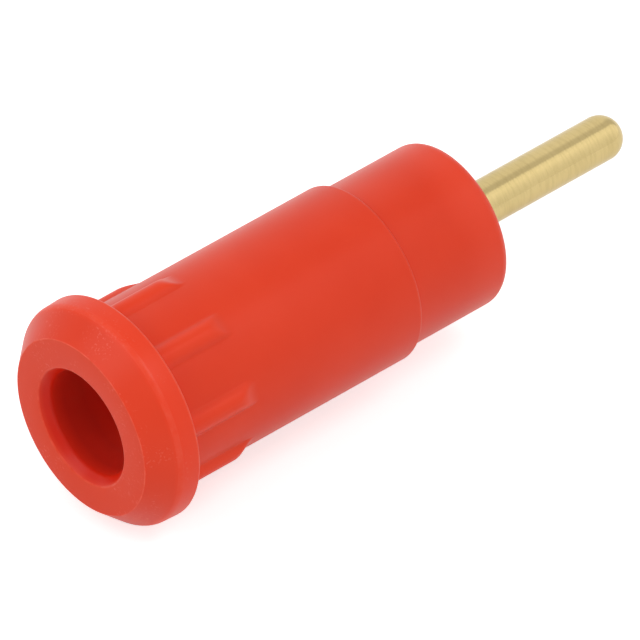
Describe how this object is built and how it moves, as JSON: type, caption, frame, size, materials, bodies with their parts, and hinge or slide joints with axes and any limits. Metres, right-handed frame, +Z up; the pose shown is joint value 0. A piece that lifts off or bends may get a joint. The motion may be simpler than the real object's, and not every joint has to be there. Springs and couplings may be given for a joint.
{
  "type": "panel socket for banana plugs",
  "caption": "Press-in insulated panel socket for a banana plug: flanged round housing with grip ribs, a countersunk mouth and a straight round solder pin at the back.",
  "frame": {"origin": "on the socket's axis, in the plane where the back of the flange seats on the panel", "axes": "+Y along the axis towards the solder pin, so the plug goes in at -Y; +Z up, with the panel upright"},
  "size_m": [0.0101, 0.0297, 0.01],
  "materials": {
    "red_insulation": "moulded, satin with a soft sheen",
    "gold_plating": "turned, gold plated, fine turning marks"
  },
  "bodies": {
    "root": {"housing": "red_insulation", "contact": "gold_plating"}
  },
  "joints": []
}
